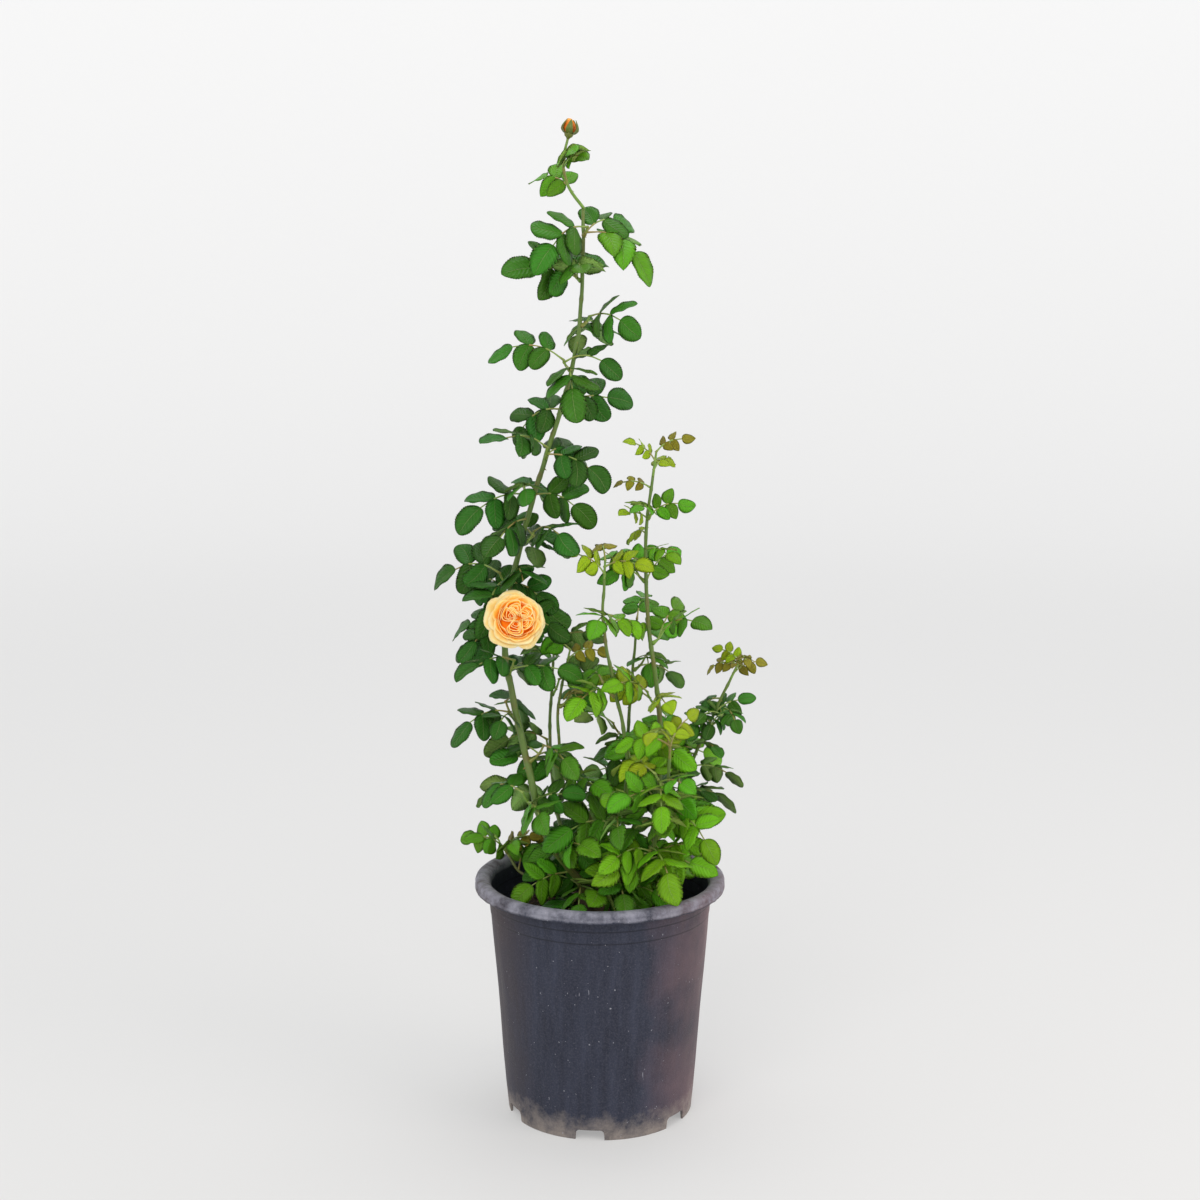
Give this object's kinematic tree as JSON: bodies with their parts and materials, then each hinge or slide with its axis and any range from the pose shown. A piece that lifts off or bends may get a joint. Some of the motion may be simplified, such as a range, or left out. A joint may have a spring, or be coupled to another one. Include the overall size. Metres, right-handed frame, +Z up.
{
  "type": "potted climbing rose bush",
  "caption": "Young climbing rose bush with arching prickly canes, leafy side shoots, an open rosette bloom and a bud, growing in compost in a round black nursery pot.",
  "frame": {"origin": "centre of the pot's flat underside, on the pot's axis", "axes": "+Z up along the pot's axis and the plant's height, -Y towards the front of the bush, where the bloom faces, +X to its right"},
  "size_m": [0.415, 0.3316, 1.1831],
  "materials": {
    "pot_plastic": "black injection-moulded polypropylene, scuffed, with a chalky bloom near the foot",
    "compost": "dark moist bark and peat compost, crumbly",
    "old_wood": "rough grey-brown bark of the bud union",
    "cane_bark": "smooth green rose cane with a waxy bloom and hooked prickles",
    "foliage": "semi-gloss toothed leaflets, dark blue-green on the tall cane and fresh green in the bush, bronze at the young tips",
    "petals": "soft apricot petals, paler cream outside"
  },
  "bodies": {
    "root": {"pot": "pot_plastic", "compost": "compost", "bud_union": "old_wood", "cane_tall": "cane_bark", "cane_right": "cane_bark", "cane_middle": "cane_bark", "cane_left": "cane_bark", "cane_side": "cane_bark", "cane_front": "cane_bark", "cane_back_left": "cane_bark", "cane_back_right": "cane_bark", "cane_low": "cane_bark", "bloom_shoot": "petals", "cane_tall_top": "foliage", "cane_right_top": "foliage", "cane_middle_top": "foliage", "cane_left_top": "foliage", "cane_side_top": "foliage", "cane_front_top": "foliage", "cane_back_left_top": "foliage", "cane_back_right_top": "foliage", "cane_low_top": "foliage", "cane_tall_shoot_1": "foliage", "cane_tall_shoot_2": "foliage", "cane_tall_shoot_3": "foliage", "cane_tall_shoot_4": "foliage", "cane_tall_shoot_5": "foliage", "cane_tall_shoot_6": "foliage", "cane_tall_shoot_7": "foliage", "cane_tall_shoot_8": "foliage", "cane_tall_shoot_9": "foliage", "cane_tall_shoot_10": "foliage", "cane_tall_shoot_11": "foliage", "cane_tall_shoot_12": "foliage", "cane_tall_shoot_13": "foliage", "cane_tall_shoot_14": "foliage", "cane_right_shoot_1": "foliage", "cane_right_shoot_2": "foliage", "cane_right_shoot_3": "foliage", "cane_right_shoot_4": "foliage", "cane_right_shoot_5": "foliage", "cane_right_shoot_6": "foliage", "cane_middle_shoot_1": "foliage", "cane_middle_shoot_2": "foliage", "cane_middle_shoot_3": "foliage", "cane_middle_shoot_4": "foliage", "cane_left_shoot_1": "foliage", "cane_left_shoot_2": "foliage", "cane_side_shoot_1": "foliage", "cane_side_shoot_2": "foliage", "cane_side_shoot_3": "foliage", "cane_front_shoot_1": "foliage", "cane_front_shoot_2": "foliage", "cane_front_shoot_3": "foliage", "cane_back_left_shoot_1": "foliage", "cane_back_left_shoot_2": "foliage", "cane_back_left_shoot_3": "foliage", "cane_back_right_shoot_1": "foliage", "cane_back_right_shoot_2": "foliage", "cane_back_right_shoot_3": "foliage"}
  },
  "joints": []
}
